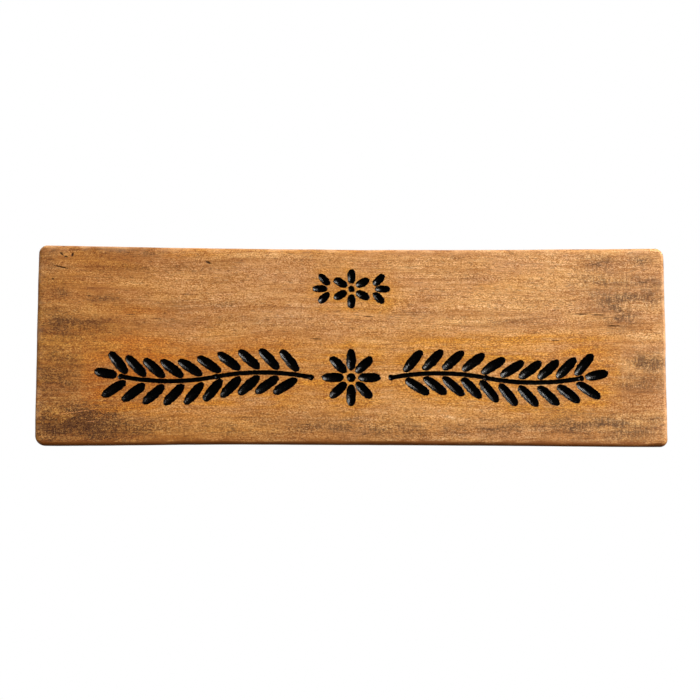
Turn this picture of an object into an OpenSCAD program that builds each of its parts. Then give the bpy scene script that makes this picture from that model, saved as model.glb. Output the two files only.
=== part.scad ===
// Solid wood plaque with a black-enamelled carved leaf garland, hung from a sawtooth hanger on its back.
// +Z is up and the carved front faces -Y. The plane y = 0 is the wall, and the origin is the point on the
// wall straight behind the notch that rests on the wall nail.

/* [Board] */
// Length of the board
board_l = 300; // [280:1:340]
// Height of the board
board_h = 95; // [90:1:110]
// Thickness of the board
board_t = 18; // [15:0.5:22]
// Radius of the corners, seen from the front
corner_r = 5; // [3.5:0.5:8]
// Rounding of the edges around the front face
front_edge_r = 2.5; // [1:0.25:3]
// Rounding of the edges around the back face
back_edge_r = 1.5; // [1:0.25:3]

/* [Carving] */
// Depth of the large leaf cuts
leaf_depth = 1.8; // [1:0.1:2.2]
// Length of the large leaf cuts
leaf_l = 13.2; // [11:0.1:13.5]
// Width of the large leaf cuts
leaf_w = 4.5; // [3:0.1:4.6]
// Angle between a leaf and the stem
leaf_angle = 42; // [38:1:46]
// Pairs of leaves along each of the two arcs of a branch
pairs_per_arc = 5; // [3:1:5]
// Thickness of the enamel that lines the cuts
enamel_t = 0.25; // [0.15:0.05:0.4]

/* [Hanger] */
// Length of the sawtooth hanger
hanger_l = 45; // [40:1:60]
// Height of the hanger's strip, down to the tips of its teeth
hanger_h = 9.2; // [8.5:0.1:12]
// Thickness of the hanger's steel
hanger_t = 0.8; // [0.6:0.1:1]
// Gap behind the raised middle, for the head of the wall nail
hanger_gap = 1.6; // [1.2:0.1:2]
// Distance from the board's top edge down to the notches
hang_drop = 14; // [12:1:20]

/* [Bumpers] */
// Diameter of a rubber bumper
bumper_d = 12; // [8:1:16]
// Distance from the wall to the board's back, which the bumpers fill
standoff = 3; // [2.6:0.1:4]

/* [Hidden] */
$fn = 72;

// Planes of the board. Carving positions [u, v] are measured from the middle of the front face.
back_y = -standoff;
front_y = back_y - board_t;
top_z = hang_drop;
mid_z = top_z - board_h / 2;
bottom_z = top_z - board_h;
eps = 0.05;
gouge_clear_angle = 1;

// Garland: a rosette in the middle, and a branch to each side whose stem rises and falls in two arcs.
garland_v = -15;
garland_petal_count = 8;
petal_start = 3.4;
petal_l = 10.4;
petal_w = 4.4;
stem_start_u = 19;
stem_arc_chord = 45;
stem_rise = 2.2;
stem_r = 1;
stem_stop_angle = 0.15;
punch_r = 1.35;
leaf_gap = 2.7;
tip_leaf_l = 11;
tip_leaf_gap = 2;
stem_turn_r = (pow(stem_arc_chord / 2, 2) + pow(stem_rise, 2)) / (2 * stem_rise);
stem_half_angle = asin(stem_arc_chord / 2 / stem_turn_r);
stem_end_u = stem_start_u + 2 * stem_arc_chord;
dot_w = 4.2;

// Crest: a smaller rosette above the garland, with a sprig of three leaves to each side.
crest_v = 28;
crest_petal_count = 6;
crest_petal_start = 2.6;
crest_petal_l = 7;
crest_petal_w = 3.8;
crest_depth = 1.5;
crest_dot_w = 3;
sprig_u = 8.9;
sprig_leaf_gap = 2.5;
sprig_leaf_l = 7;
sprig_leaf_w = 3.4;
sprig_angle = 47;

// Hanger and its two nails.
tooth_pitch = 2.2;
tooth_h = 1.2;
tooth_count = 9;
raised_half_l = 11.5;
slope_l = 2;
tab_corner_r = 2;
nail_u = 18.5;
nail_z = 3.4;
nail_r = 0.6;
nail_hole_r = 0.8;
nail_l = 11;
nail_tip_l = 1.6;
nail_head_r = 1.7;
nail_head_t = 0.7;
hanger_y = back_y + hanger_t;

// Bumpers: soft rubber on a film of adhesive.
adhesive_t = 0.2;
bumper_edge_r = 0.9;
bumper_inset = 16;
bumper_rise = 14;

// --- Where the cuts go. A leaf is [u, v, angle, start, length, width, depth]: it points from [u, v] along
// the angle, and begins at the distance start. A dot is [u, v, width, depth]. Side is 1 for the right half
// of the garland and -1 for the left half.

function ring_of_leaves(v, count, start, l, w, d) =
    [for (i = [0 : count - 1]) [0, v, 90 + i * 360 / count, start, l, w, d]];

function on_side(side, leaves) =
    [for (f = leaves) [side * f[0], f[1], 90 + side * (f[2] - 90), f[3], f[4], f[5], f[6]]];

// The stem's two arcs: the first one bulges up and the second one down.
function arc_side(arc) = arc == 0 ? 1 : -1;
function arc_centre(side, arc) = [
    side * (stem_start_u + (arc + 0.5) * stem_arc_chord),
    garland_v - arc_side(arc) * (stem_turn_r - stem_rise)
];
function stem_point(arc, t) =
    arc_centre(1, arc) + stem_turn_r * [sin(t), arc_side(arc) * cos(t)];
function stem_tangent(arc, t) = -arc_side(arc) * t;

function branch_leaves() = concat(
    [
        for (arc = [0, 1], i = [0 : pairs_per_arc - 1], turn = [-1, 1])
            let (t = stem_half_angle * ((2 * i + 1) / pairs_per_arc - 1), p = stem_point(arc, t))
            [p[0], p[1], stem_tangent(arc, t) + turn * leaf_angle, leaf_gap, leaf_l, leaf_w, leaf_depth]
    ],
    [[
        stem_end_u, garland_v, stem_tangent(1, stem_half_angle),
        tip_leaf_gap, tip_leaf_l, leaf_w, leaf_depth
    ]]
);

function sprig_leaves() = [
    for (a = [-sprig_angle, 0, sprig_angle])
        [sprig_u, crest_v, a, sprig_leaf_gap, sprig_leaf_l, sprig_leaf_w, crest_depth]
];

function garland_petals() =
    ring_of_leaves(garland_v, garland_petal_count, petal_start, petal_l, petal_w, leaf_depth);
function crest_petals() =
    ring_of_leaves(crest_v, crest_petal_count, crest_petal_start, crest_petal_l, crest_petal_w, crest_depth);
garland_dot = [0, garland_v, dot_w, leaf_depth];
crest_dot = [0, crest_v, crest_dot_w, crest_depth];

// --- Cutting tools. Each stands out of the front face by lip, and skin makes it thinner all round.

// Radius of the circle that cuts a chord of that width to that depth.
function cut_radius(w, d) = (w * w / 4 + d * d) / (2 * d);

// Places a cut on the front face, its length along u and its depth along +Y, and keeps what is in the wood.
module cut_at(u, v, angle, lip, reach) {
    translate([u, front_y, mid_z + v])
        rotate([0, -angle, 0])
            intersection() {
                children();
                translate([-reach, -lip, -reach])
                    cube([2 * reach, lip + board_t / 2, 2 * reach]);
            }
}

// A round gouge that dips into the wood along an arc.
module leaf_cut(leaf, skin = 0, lip = 0) {
    depth = leaf[6];
    gouge_r = cut_radius(leaf[5], depth);
    tip_r = cut_radius(leaf[4], depth);
    half_sweep = acos(1 - (depth + eps) / tip_r) + gouge_clear_angle;
    cut_at(leaf[0], leaf[1], leaf[2], lip, leaf[3] + 1.5 * leaf[4])
        translate([leaf[3] + leaf[4] / 2, depth - tip_r, 0])
            rotate([0, 0, 90 - half_sweep])
                rotate_extrude(angle = 2 * half_sweep, $fn = 144)
                    translate([tip_r - gouge_r, 0])
                        circle(r = gouge_r - skin, $fn = 48);
}

// The round eye of a rosette.
module dot_cut(dot, skin = 0, lip = 0) {
    eye_r = cut_radius(dot[2], dot[3]);
    cut_at(dot[0], dot[1], 0, lip, 2 * eye_r)
        translate([0, dot[3] - eye_r, 0])
            sphere(r = eye_r - skin);
}

// The round groove of one of the stem's arcs. It stops inside the punch mark at either end.
module stem_arc_cut(side, arc, skin = 0, lip = 0) {
    centre = arc_centre(side, arc);
    half_sweep = stem_half_angle - stem_stop_angle;
    cut_at(centre[0], centre[1], 0, lip, 2 * stem_turn_r)
        rotate([90, 0, 0])
            rotate([0, 0, arc_side(arc) * 90 - half_sweep])
                rotate_extrude(angle = 2 * half_sweep, $fn = 240)
                    translate([stem_turn_r, 0])
                        circle(r = stem_r - skin, $fn = 32);
}

// Round punch mark on the stem: 0 at its start, 1 where its arcs meet, 2 at its end.
module stem_punch_cut(side, i, skin = 0, lip = 0) {
    cut_at(side * (stem_start_u + i * stem_arc_chord), garland_v, 0, lip, 2 * punch_r)
        sphere(r = punch_r - skin, $fn = 48);
}

module leaves_cut(leaves) {
    for (leaf = leaves)
        leaf_cut(leaf, 0, eps);
}

module leaves_enamel(leaves) {
    color("black")
        for (leaf = leaves)
            difference() {
                leaf_cut(leaf);
                leaf_cut(leaf, enamel_t, eps);
            }
}

module stem_cut(side) {
    for (arc = [0, 1])
        stem_arc_cut(side, arc, 0, eps);
    for (i = [0 : 2])
        stem_punch_cut(side, i, 0, eps);
}

module dot_enamel(dot) {
    color("black")
        difference() {
            dot_cut(dot);
            dot_cut(dot, enamel_t, eps);
        }
}

// --- Board

// Outline of a section through the board's thickness: square at heart, with the two edge roundings.
module edge_section(half, inner = 0) {
    union() {
        translate([inner, back_edge_r])
            square([half - inner, board_t - back_edge_r - front_edge_r]);
        translate([inner, 0])
            square([half - inner - back_edge_r, board_t]);
        translate([inner, back_edge_r])
            square([half - inner - front_edge_r, board_t - back_edge_r]);
        translate([half - back_edge_r, back_edge_r])
            circle(r = back_edge_r, $fn = 48);
        translate([half - front_edge_r, board_t - front_edge_r])
            circle(r = front_edge_r, $fn = 48);
    }
}

// The rounded slab lying on its back, with its middle at the origin.
module rounded_slab() {
    straight_l = board_l - 2 * corner_r;
    straight_h = board_h - 2 * corner_r;
    for (turn = [0, 180])
        rotate([0, 0, turn]) {
            rotate([90, 0, 90])
                translate([0, 0, -straight_l / 2])
                    linear_extrude(straight_l) edge_section(board_h / 2);
            rotate([90, 0, 0])
                translate([0, 0, -straight_h / 2])
                    linear_extrude(straight_h) edge_section(board_l / 2);
        }
    for (x = [-1, 1], y = [-1, 1])
        translate([x * straight_l / 2, y * straight_h / 2, 0])
            rotate_extrude() edge_section(corner_r);
}

module board() {
    color("peru")
        difference() {
            translate([0, back_y, mid_z])
                rotate([90, 0, 0]) rounded_slab();
            leaves_cut(crest_petals());
            leaves_cut(garland_petals());
            dot_cut(crest_dot, 0, eps);
            dot_cut(garland_dot, 0, eps);
            leaves_cut(on_side(1, sprig_leaves()));
            leaves_cut(on_side(-1, sprig_leaves()));
            leaves_cut(on_side(1, branch_leaves()));
            leaves_cut(on_side(-1, branch_leaves()));
            stem_cut(1);
            stem_cut(-1);
            nail_shank(nail_u);
            nail_shank(-nail_u);
        }
}

// --- Enamel in the cuts

module crest_rosette_enamel() {
    leaves_enamel(crest_petals());
    dot_enamel(crest_dot);
}

module sprig_enamel(side) {
    leaves_enamel(on_side(side, sprig_leaves()));
}

module garland_rosette_enamel() {
    leaves_enamel(garland_petals());
    dot_enamel(garland_dot);
}

module branch_enamel(side) {
    leaves_enamel(on_side(side, branch_leaves()));
}

module stem_enamel(side) {
    color("black") {
        for (arc = [0, 1])
            difference() {
                stem_arc_cut(side, arc);
                stem_arc_cut(side, arc, enamel_t, eps);
                for (i = [0 : 2]) stem_punch_cut(side, i, enamel_t, eps);
            }
        for (i = [0 : 2])
            difference() {
                stem_punch_cut(side, i);
                stem_punch_cut(side, i, enamel_t, eps);
                for (arc = [0, 1]) stem_arc_cut(side, arc, enamel_t, eps);
            }
    }
}

// --- Hanger

module nail_shank(u) {
    translate([u, hanger_y, nail_z])
        rotate([90, 0, 0]) {
            cylinder(r = nail_r, h = nail_l - nail_tip_l, $fn = 36);
            translate([0, 0, nail_l - nail_tip_l])
                cylinder(r1 = nail_r, r2 = 0, h = nail_tip_l, $fn = 36);
        }
}

// A brad with a low domed head.
module hanger_nail(u) {
    dome_r = cut_radius(2 * nail_head_r, nail_head_t);
    color("silver") {
        union() {
            nail_shank(u);
            translate([u, hanger_y, nail_z])
                intersection() {
                    translate([0, nail_head_t - dome_r, 0]) sphere(r = dome_r);
                    rotate([-90, 0, 0]) cylinder(r = nail_head_r, h = nail_head_t);
                }
        }
    }
}

// The strip seen from above: flat tabs on the board, and a raised middle.
module hanger_bend() {
    half = hanger_l / 2;
    slope_end = raised_half_l + slope_l;
    polygon([
        [-half, 0], [-slope_end, 0], [-raised_half_l, hanger_gap], [raised_half_l, hanger_gap],
        [slope_end, 0], [half, 0], [half, hanger_t], [slope_end, hanger_t],
        [raised_half_l, hanger_gap + hanger_t], [-raised_half_l, hanger_gap + hanger_t],
        [-slope_end, hanger_t], [-half, hanger_t]
    ]);
}

// The strip seen from the front: rounded corners, and notches between the teeth of the lower edge.
module hanger_outline() {
    reach = hanger_l / 2 - tab_corner_r;
    low = -tooth_h + tab_corner_r;
    high = hanger_h - tooth_h - tab_corner_r;
    difference() {
        union() {
            translate([-reach, -tooth_h]) square([2 * reach, hanger_h]);
            translate([-hanger_l / 2, low]) square([hanger_l, high - low]);
            for (x = [-reach, reach], y = [low, high])
                translate([x, y]) circle(r = tab_corner_r);
        }
        for (i = [0 : tooth_count - 1])
            translate([(i - (tooth_count - 1) / 2) * tooth_pitch, 0])
                polygon([[0, 0], [tooth_pitch / 2, -tooth_h], [tooth_pitch / 2, -tooth_h - eps],
                    [-tooth_pitch / 2, -tooth_h - eps], [-tooth_pitch / 2, -tooth_h]]);
        for (x = [-nail_u, nail_u])
            translate([x, nail_z]) circle(r = nail_hole_r, $fn = 36);
    }
}

module sawtooth_hanger() {
    color("silver")
        intersection() {
            translate([0, back_y, -tooth_h - 1])
                linear_extrude(hanger_h + 2) hanger_bend();
            translate([0, -eps, 0])
                rotate([90, 0, 0])
                    linear_extrude(standoff) hanger_outline();
        }
}

// --- Bumpers, on the back of the lower corners

module at_bumper(side) {
    translate([side * (board_l / 2 - bumper_inset), back_y, bottom_z + bumper_rise])
        rotate([-90, 0, 0])
            children();
}

module bumper_adhesive(side) {
    color("ivory")
        at_bumper(side)
            cylinder(d = bumper_d - 0.4, h = adhesive_t);
}

// A rubber disc with a rounded rim.
module bumper(side) {
    bumper_t = standoff - adhesive_t;
    color("dimgray")
        at_bumper(side)
            translate([0, 0, adhesive_t])
                rotate_extrude() {
                    square([bumper_d / 2, bumper_t - bumper_edge_r]);
                    square([bumper_d / 2 - bumper_edge_r, bumper_t]);
                    translate([bumper_d / 2 - bumper_edge_r, bumper_t - bumper_edge_r])
                        circle(r = bumper_edge_r, $fn = 48);
                }
}

board();
crest_rosette_enamel();
sprig_enamel(-1);  // crest_left_sprig_enamel
sprig_enamel(1);  // crest_right_sprig_enamel
garland_rosette_enamel();
stem_enamel(-1);  // left_stem_enamel
branch_enamel(-1);  // left_leaves_enamel
stem_enamel(1);  // right_stem_enamel
branch_enamel(1);  // right_leaves_enamel
sawtooth_hanger();
hanger_nail(-nail_u);  // left_hanger_nail
hanger_nail(nail_u);  // right_hanger_nail
bumper(-1);  // left_bumper
bumper(1);  // right_bumper
bumper_adhesive(-1);  // left_bumper_adhesive
bumper_adhesive(1);  // right_bumper_adhesive
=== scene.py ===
import math

import bmesh
import bpy
import numpy as np
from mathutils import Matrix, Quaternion, Vector
from mathutils.geometry import delaunay_2d_cdt
from mathutils.kdtree import KDTree


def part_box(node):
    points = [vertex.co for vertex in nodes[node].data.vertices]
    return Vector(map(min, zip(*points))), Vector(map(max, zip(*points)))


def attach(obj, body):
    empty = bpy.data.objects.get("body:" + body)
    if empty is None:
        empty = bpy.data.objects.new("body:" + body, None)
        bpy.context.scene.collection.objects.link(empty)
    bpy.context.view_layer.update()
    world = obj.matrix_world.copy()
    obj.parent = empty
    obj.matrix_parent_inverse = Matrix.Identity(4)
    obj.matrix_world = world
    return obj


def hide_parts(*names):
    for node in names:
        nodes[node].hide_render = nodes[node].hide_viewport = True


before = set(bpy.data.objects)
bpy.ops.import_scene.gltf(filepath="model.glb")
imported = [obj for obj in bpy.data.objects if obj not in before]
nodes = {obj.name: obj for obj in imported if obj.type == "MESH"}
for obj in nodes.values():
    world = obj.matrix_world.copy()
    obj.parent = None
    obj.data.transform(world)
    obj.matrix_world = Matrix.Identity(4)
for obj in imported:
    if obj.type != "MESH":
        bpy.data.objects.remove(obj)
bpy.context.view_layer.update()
MM = 0.001

# The board's box, in millimetres. u runs right and v up from the middle of its front face.
LO, HI = (np.array(corner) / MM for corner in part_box("board"))
LENGTH, THICK, HEIGHT = HI - LO
FRONT, BACK = LO[1], HI[1]
MID_X, MID_Z = (LO[0] + HI[0]) / 2, (LO[2] + HI[2]) / 2

RIM_STEP = 0.9  # spacing of the points round the board and round the leaves
GROOVE_STEP = 0.7  # and along the grooves


# ---------------------------------------------------------------- smooth repeatable noise

WORD = 0xFFFFFFFF


def lattice(ix, iy, seed):
    """A repeatable number in [-1, 1] for each whole-numbered point, from a 32-bit hash."""
    h = (ix.astype(np.int64) * 374761393 + iy.astype(np.int64) * 668265263 + seed * 2147483647) & WORD
    h = ((h ^ (h >> 13)) * 1274126177) & WORD
    with np.errstate(over="ignore"):
        h = ((h ^ (h >> 16)) * 2246822519) & WORD
    return ((h ^ (h >> 15)) & 0xFFFFFF) / float(0xFFFFFF) * 2 - 1


def noise(x, y, seed):
    """Value noise in [-1, 1] with features about one unit across."""
    x, y = np.asarray(x, float), np.asarray(y, float)
    ix, iy = np.floor(x), np.floor(y)
    fx, fy = x - ix, y - iy
    fx, fy = fx * fx * (3 - 2 * fx), fy * fy * (3 - 2 * fy)
    a, b = lattice(ix, iy, seed), lattice(ix + 1, iy, seed)
    c, d = lattice(ix, iy + 1, seed), lattice(ix + 1, iy + 1, seed)
    return (a * (1 - fx) + b * fx) * (1 - fy) + (c * (1 - fx) + d * fx) * fy


def fbm(x, y, seed, octaves=3):
    """Noise with finer noise added to it, each octave half as large and half as strong as the last."""
    total, gain, norm = 0, 1.0, 0.0
    for i in range(octaves):
        total = total + gain * noise(np.asarray(x) * 2 ** i, np.asarray(y) * 2 ** i, seed + 17 * i)
        norm += gain
        gain *= 0.5
    return total / norm


# ---------------------------------------------------------------- the cuts, read from the enamel nodes

def islands(obj):
    """Point sets of a mesh's loose parts, in millimetres."""
    co = np.array([v.co for v in obj.data.vertices]) / MM
    key = {}
    same = np.array([key.setdefault(tuple(p), len(key)) for p in np.round(co, 3)])
    parent = list(range(len(key)))

    def find(i):
        while parent[i] != i:
            parent[i] = parent[parent[i]]
            i = parent[i]
        return i

    for e in obj.data.edges:
        a, b = find(same[e.vertices[0]]), find(same[e.vertices[1]])
        parent[max(a, b)] = min(a, b)
    groups = {}
    for i, k in enumerate(same):
        groups.setdefault(find(k), []).append(i)
    return [co[g] for _, g in sorted(groups.items())]


class Leaf:
    """A lens-shaped gouge cut, or a narrow slit. a runs along it and b across it, in millimetres."""

    def __init__(self, u, v, angle, length, width, deepest, slit=False):
        self.u, self.v = u, v
        self.length, self.width, self.deepest, self.slit = length, width, deepest, slit
        self.cos, self.sin = math.cos(angle), math.sin(angle)
        # The radii of its bottom, across it and along it.
        self.across_r = (width ** 2 / 4 + deepest ** 2) / (2 * deepest)
        self.along_r = (length ** 2 / 4 + deepest ** 2) / (2 * deepest)
        self.spread = self.along_r - self.across_r

    def local(self, u, v):
        du, dv = u - self.u, v - self.v
        return du * self.cos + dv * self.sin, -du * self.sin + dv * self.cos

    def world(self, a, b):
        return self.u + a * self.cos - b * self.sin, self.v + a * self.sin + b * self.cos

    def half_width(self, a):
        if self.slit:
            return self.width / 2 * np.maximum(0, 1 - (2 * a / self.length) ** 2) ** 0.7
        inner = np.sqrt((self.along_r - self.deepest) ** 2 + a ** 2) - self.spread
        return np.sqrt(np.maximum(0, self.across_r ** 2 - inner ** 2))

    def depth(self, u, v):
        """How deep it is at a place on the face, and less than 0 outside it."""
        a, b = self.local(u, v)
        if self.slit:
            inside = np.abs(a) < self.length / 2
            a = np.where(inside, a, 0)
            half = self.half_width(a) + 1e-6
            fade = np.sqrt(np.maximum(0, 1 - (2 * a / self.length) ** 2))
            return np.where(inside, self.deepest * fade * np.clip((1 - np.abs(b) / half) / 0.35, -1, 1), -1)
        across = np.sqrt(np.maximum(0, self.across_r ** 2 - np.minimum(np.abs(b), self.across_r) ** 2))
        along = np.maximum(0, (self.spread + across) ** 2 - a ** 2)
        return np.where(np.abs(b) < self.across_r, np.sqrt(along) - (self.along_r - self.deepest), -1)

    def rim(self):
        """Points round its outline."""
        n = 2 * max(8, int(self.length / RIM_STEP))
        t = np.arange(n) * 2 * math.pi / n
        a = self.length / 2 * np.cos(t)
        return a, np.where(t < math.pi, 1, -1) * self.half_width(a)


class Dot(Leaf):
    """A round punched cut."""

    def half_width(self, a):
        return np.sqrt(np.maximum(0, (self.length / 2) ** 2 - a ** 2))

    def depth(self, u, v):
        a, b = self.local(u, v)
        gap = a ** 2 + b ** 2
        bowl = np.sqrt(np.maximum(0, self.across_r ** 2 - gap)) - (self.across_r - self.deepest)
        return np.where(gap < (self.length / 2) ** 2, bowl, -1)


class Groove:
    """A round groove along an arc of the stem. bulge is 1 where the arc's middle is its top, or else -1."""

    def __init__(self, u0, u1, v, rise, bulge, across_r):
        chord = u1 - u0
        self.turn = ((chord / 2) ** 2 + rise ** 2) / (2 * rise)
        self.half = math.asin(chord / 2 / self.turn)
        self.u, self.v = (u0 + u1) / 2, v - bulge * (self.turn - rise)
        self.bulge, self.across_r = bulge, across_r

    def angles(self, step, short=0.0):
        """Angles along the arc, about step apart, whose ends stop short of the arc's."""
        end = self.half - short / self.turn
        return np.linspace(-end, end, int(self.turn * 2 * self.half / step))

    def world(self, t, b):
        reach = self.turn + b
        return self.u + reach * np.sin(t), self.v + self.bulge * reach * np.cos(t)

    def depth(self, u, v):
        du, dv = u - self.u, (v - self.v) * self.bulge
        b = np.hypot(du, dv) - self.turn
        inside = (np.abs(np.arctan2(du, dv)) < self.half) & (np.abs(b) < self.across_r)
        return np.where(inside, np.sqrt(np.maximum(0, self.across_r ** 2 - b ** 2)), -1)


def read_leaf(points):
    """The leaf or the dot that a loose part of the enamel lines."""
    on_face = points[:, 1] < FRONT + 0.004
    rim = points[on_face][:, [0, 2]] - [MID_X, MID_Z]
    gap = np.hypot(*(rim[:, None, :] - rim[None, :, :]).transpose(2, 0, 1))
    i, j = np.unravel_index(np.argmax(gap), gap.shape)
    length, middle = gap[i, j], (rim[i] + rim[j]) / 2
    axis = (rim[j] - rim[i]) / length
    half_width = np.abs((rim - middle) @ np.array([-axis[1], axis[0]])).max()
    deepest = points[:, 1].max() - FRONT
    # A dot is as wide as it is long.
    kind = Dot if half_width > 0.46 * length else Leaf
    return kind(*middle, math.atan2(axis[1], axis[0]), length, 2 * half_width, deepest)


STEM_R = 1.0  # radius of a stem's groove


def read_stem(name):
    """The two arcs of a stem and the dots at their three ends, from the stem's box."""
    lo, hi = (np.array(corner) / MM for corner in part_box(name))
    dot_r = hi[1] - FRONT
    rise = (hi[2] - lo[2]) / 2 - STEM_R
    v = (lo[2] + hi[2]) / 2 - MID_Z
    ends = [lo[0] + dot_r, (lo[0] + hi[0]) / 2, hi[0] - dot_r]
    # The first arc out from the middle bulges up, and the second one down.
    bulges = (1, -1) if lo[0] > 0 else (-1, 1)
    arcs = [Groove(ends[i], ends[i + 1], v, rise, bulges[i], STEM_R) for i in (0, 1)]
    return arcs + [Dot(u, v, 0, 2 * dot_r, 2 * dot_r, dot_r) for u in ends]


def read_motif(name):
    return read_stem(name) if "stem" in name else [read_leaf(p) for p in islands(nodes[name])]


motifs = {name: read_motif(name) for name in sorted(nodes) if name.endswith("_enamel")}
cuts = [c for motif in motifs.values() for c in motif]

# Small damage in the bare wood, as (u, v, degrees, length, width, depth): drying checks and nicks.
DAMAGE = [
    (109.2, 15.7, -1, 7, 0.55, 0.45), (117.6, 15.3, -1, 7.5, 0.6, 0.5), (124.8, 10, 0, 7.5, 0.65, 0.5),
    (8, 14.6, -2, 6, 0.5, 0.35), (-79, 24.6, 3, 3.4, 0.6, 0.4), (-68.5, 40.2, -24, 4.0, 1.2, 0.35),
    (-138.6, 43.2, -40, 2.4, 1.0, 0.5), (-136.4, 41.9, -8, 2.3, 0.9, 0.4),
    (-133.4, 42.9, 72, 2.2, 1.2, 0.55), (-138.8, 36.9, -12, 8, 0.85, 0.4),
    (-125, 23.2, -4, 4.5, 0.6, 0.3), (-105, 14.6, 0, 6, 0.5, 0.3), (-92, 12.6, -3, 5, 0.5, 0.25),
    (97, 3, 2, 5, 0.5, 0.3), (-17, 3.6, -1, 7, 0.5, 0.3), (63, 22, 1, 4, 0.45, 0.25),
    (139, 31, -3, 6, 0.5, 0.3), (-142.5, 31, 0, 1.4, 1.1, 0.4),
]
SCRATCHES = [(-130, -31.6, 8, 21, 0.55, 0.1), (-122, -36, 5, 7, 0.5, 0.08), (96, 26, -2, 9, 0.45, 0.08)]


def slits(marks):
    return [Leaf(u, v, math.radians(angle), *size, slit=True) for u, v, angle, *size in marks]


damage, scratches = slits(DAMAGE), slits(SCRATCHES)
all_marks = cuts + damage + scratches


def cut_depth(u, v, marks=cuts):
    """Depth of the deepest cut at each place on the face, and 0 where there is none."""
    deepest = np.zeros_like(np.asarray(u, float))
    for c in marks:
        deepest = np.maximum(deepest, c.depth(u, v))
    return deepest


def face_wave(u, v):
    """How far the hand-sanded front stands off its plane, in millimetres: positive is into the wood."""
    return (
        0.05 * fbm(u / 38, v / 15, 3)
        + 0.014 * fbm(u / 11, v / 1.3, 5, 2)
        + 0.07 * (np.abs(u) / (LENGTH / 2)) ** 8
    )


def bend(x, y, z):
    """Moves points from the drawn board to the real one, whose long edges are a little wavy."""
    up = np.clip((z - LO[2]) / HEIGHT, 0, 1)
    u = (x - MID_X) / (LENGTH / 2)
    top = 1.5 * u ** 2 - 1.6 - 0.35 * u + 0.16 * noise(x / 34, 0.5 + 0 * x, 21)
    low = 0.05 - 0.12 * u + 0.13 * noise(x / 40, 7.5 + 0 * x, 22)
    # The lower corners hang a little, the lower left one most.
    droop = np.clip((-u - 0.35) / 0.6, 0, 1)
    hang = 1.05 * droop ** 2 * (3 - 2 * droop) + 0.4 * np.maximum(0, u) ** 1.5
    # The ends are not quite square to the long edges.
    left_tilt = 0.45 * np.clip((0.5 - up) / 0.22, 0, 1)
    right_tilt = -0.42 * np.clip(up / 0.3, 0, 1) - 0.4 * up ** 12
    tilt = np.where(u < 0, left_tilt, right_tilt)
    side = 0.12 * noise(z / 26, 3.5 + 0 * z, 23)
    return x + side * u + tilt * u ** 8, y, z + up * top + (1 - up) * low - (1 - up) ** 2 * hang


# ---------------------------------------------------------------- meshes

def new_mesh(name, verts, faces, sharp=()):
    """A smooth object from points in millimetres, with some of its edges marked sharp."""
    mesh = bpy.data.meshes.new(name)
    points = [tuple(p) for p in np.asarray(verts) * MM]
    mesh.from_pydata(points, [], [tuple(int(i) for i in f) for f in faces])
    mesh.validate()
    for p in mesh.polygons:
        p.use_smooth = True
    wanted = {tuple(sorted((int(a), int(b)))) for a, b in sharp}
    for e in mesh.edges:
        if tuple(sorted(e.vertices)) in wanted:
            e.use_edge_sharp = True
    obj = bpy.data.objects.new(name, mesh)
    bpy.context.scene.collection.objects.link(obj)
    return obj


def weld(obj):
    """Merges points that lie together, and turns all faces outwards."""
    bm = bmesh.new()
    bm.from_mesh(obj.data)
    bmesh.ops.remove_doubles(bm, verts=bm.verts, dist=2e-6)
    bmesh.ops.recalc_face_normals(bm, faces=bm.faces)
    bm.to_mesh(obj.data)
    bm.free()
    for p in obj.data.polygons:
        p.use_smooth = True
    return obj


def attribute(obj, name, values):
    layer = obj.data.attributes.new(name, "FLOAT", "POINT")
    layer.data.foreach_set("value", np.asarray(values, np.float32))


def point_tree(points):
    tree = KDTree(len(points))
    for i, p in enumerate(points):
        tree.insert((p[0], p[1], 0), i)
    tree.balance()
    return tree


def gaps(points, tree):
    """Distance from each point to the nearest one in the tree."""
    return np.array([tree.find((p[0], p[1], 0))[2] for p in points])


# ---------------------------------------------------------------- the board

# Its corners, from the upper right one round to the left: sides of the middle, and radius.
CORNERS = [(1, 1, 4.2), (-1, 1, 4.4), (-1, -1, 5.0), (1, -1, 3.8)]
CORNER_STEPS = 10


def perimeter(step):
    """Outline of the board as points and outward normals, with hand-rounded corners."""
    half_l, half_h = LENGTH / 2, HEIGHT / 2
    points, normals = [], []
    for k, (sx, sz, r) in enumerate(CORNERS):
        cx, cz = sx * (half_l - r), sz * (half_h - r)
        start = k * math.pi / 2
        for i in range(CORNER_STEPS + 1):
            t = start + i / CORNER_STEPS * math.pi / 2
            n = (math.cos(t), math.sin(t))
            points.append((cx + r * n[0], cz + r * n[1]))
            normals.append(n)
        nx, nz, nr = CORNERS[(k + 1) % 4]
        ahead = start + math.pi / 2
        nxt = (nx * (half_l - nr) + nr * math.cos(ahead), nz * (half_h - nr) + nr * math.sin(ahead))
        here = points[-1]
        count = int(math.dist(here, nxt) / step)
        for i in range(1, count):
            f = i / count
            points.append((here[0] * (1 - f) + nxt[0] * f, here[1] * (1 - f) + nxt[1] * f))
            normals.append((math.cos(ahead), math.sin(ahead)))
    return np.array(points), np.array(normals)


def fill(boundary, inner, loops):
    """Triangles over a convex outline, through the inner points and along the loops of points."""
    coords = [Vector(p) for p in boundary]
    faces = [list(range(len(coords)))]
    edges = []
    for loop in loops:
        base = len(coords)
        coords += [Vector(p) for p in loop]
        edges += [(base + i, base + (i + 1) % len(loop)) for i in range(len(loop))]
    coords += [Vector(p) for p in inner]
    out, out_edges, tris, _, origin_edges, _ = delaunay_2d_cdt(coords, edges, faces, 1, 1e-5)
    n_edges = len(edges)
    rims = [e for e, src in zip(out_edges, origin_edges) if any(s < n_edges for s in src)]
    return np.array([tuple(p) for p in out]), np.array(tris), rims


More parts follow.
